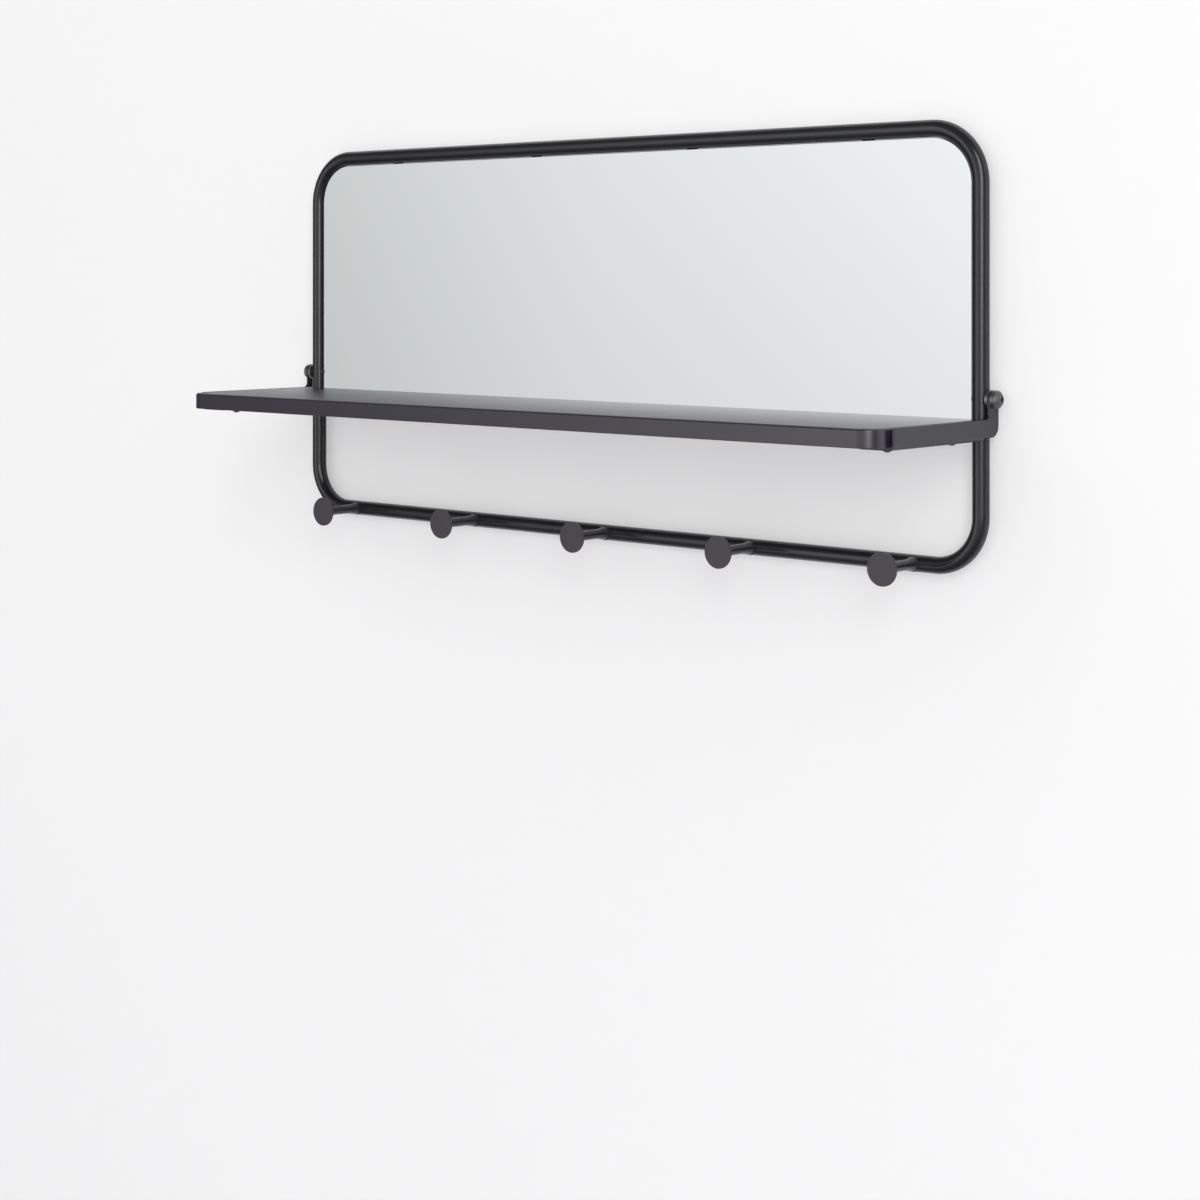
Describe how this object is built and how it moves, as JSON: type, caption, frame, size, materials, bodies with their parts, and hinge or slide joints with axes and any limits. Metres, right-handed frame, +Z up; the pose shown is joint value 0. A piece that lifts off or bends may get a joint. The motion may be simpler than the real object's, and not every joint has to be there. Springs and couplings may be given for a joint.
{
  "type": "wall mirror with shelf and hooks",
  "caption": "Wide wall mirror in a bent round-tube frame, with a fold-up shelf on side pivots and a row of disc-ended peg hooks along the bottom rail.",
  "frame": {"origin": "midway between the centres of the two keyholes' entry holes, on the wall plane", "axes": "+X to the right along the mirror's width, -Y out of the wall towards the viewer, +Z up"},
  "size_m": [0.945, 0.1978, 0.43],
  "materials": {
    "coat": "satin black powder coat with a faint grain",
    "disc_coat": "satin charcoal powder coat",
    "bracket_coat": "satin charcoal powder coat on folded steel",
    "shelf_lacquer": "satin charcoal lacquer on board, glossy at a grazing angle",
    "mirror": "silvered float glass",
    "tape": "white foam tape",
    "backing": "plain brown hardboard",
    "zinc": "bright zinc",
    "gunmetal": "dark nickel",
    "rubber": "matt black rubber"
  },
  "bodies": {
    "root": {"frame_tube": "coat", "mirror_channel": "coat", "mirror_glass": "mirror", "mirror_tape": "tape", "backing_board": "backing", "side_tab_left_low": "coat", "side_tab_left_high": "coat", "side_tab_right_low": "coat", "side_tab_right_high": "coat", "top_tabs": "coat", "side_tab_screws": "zinc", "top_tab_screws": "zinc", "hanger_left": "coat", "hanger_right": "coat", "wall_bumper_left": "rubber", "wall_bumper_right": "rubber", "hook_arm_1": "coat", "hook_arm_2": "coat", "hook_arm_3": "coat", "hook_arm_4": "coat", "hook_arm_5": "coat", "hook_disc_1": "disc_coat", "hook_disc_2": "disc_coat", "hook_disc_3": "disc_coat", "hook_disc_4": "disc_coat", "hook_disc_5": "disc_coat", "pivot_insert_left": "gunmetal", "pivot_insert_right": "gunmetal", "pivot_bolt_left": "gunmetal", "pivot_bolt_right": "gunmetal", "inner_washer_left": "zinc", "inner_washer_right": "zinc", "outer_washer_left": "zinc", "outer_washer_right": "zinc", "lock_washer_left": "zinc", "lock_washer_right": "zinc"},
    "shelf": {"shelf_board": "shelf_lacquer", "bracket_left": "bracket_coat", "bracket_right": "bracket_coat", "shelf_screw_left_front": "gunmetal", "shelf_screw_left_back": "gunmetal", "shelf_screw_right_front": "gunmetal", "shelf_screw_right_back": "gunmetal"}
  },
  "joints": [
    {"name": "shelf_fold", "type": "hinge", "parent": "root", "child": "shelf", "pos_m": [0, -0.01, -0.086], "axis": [-1, 0, 0], "range_deg": [0, 92]}
  ]
}
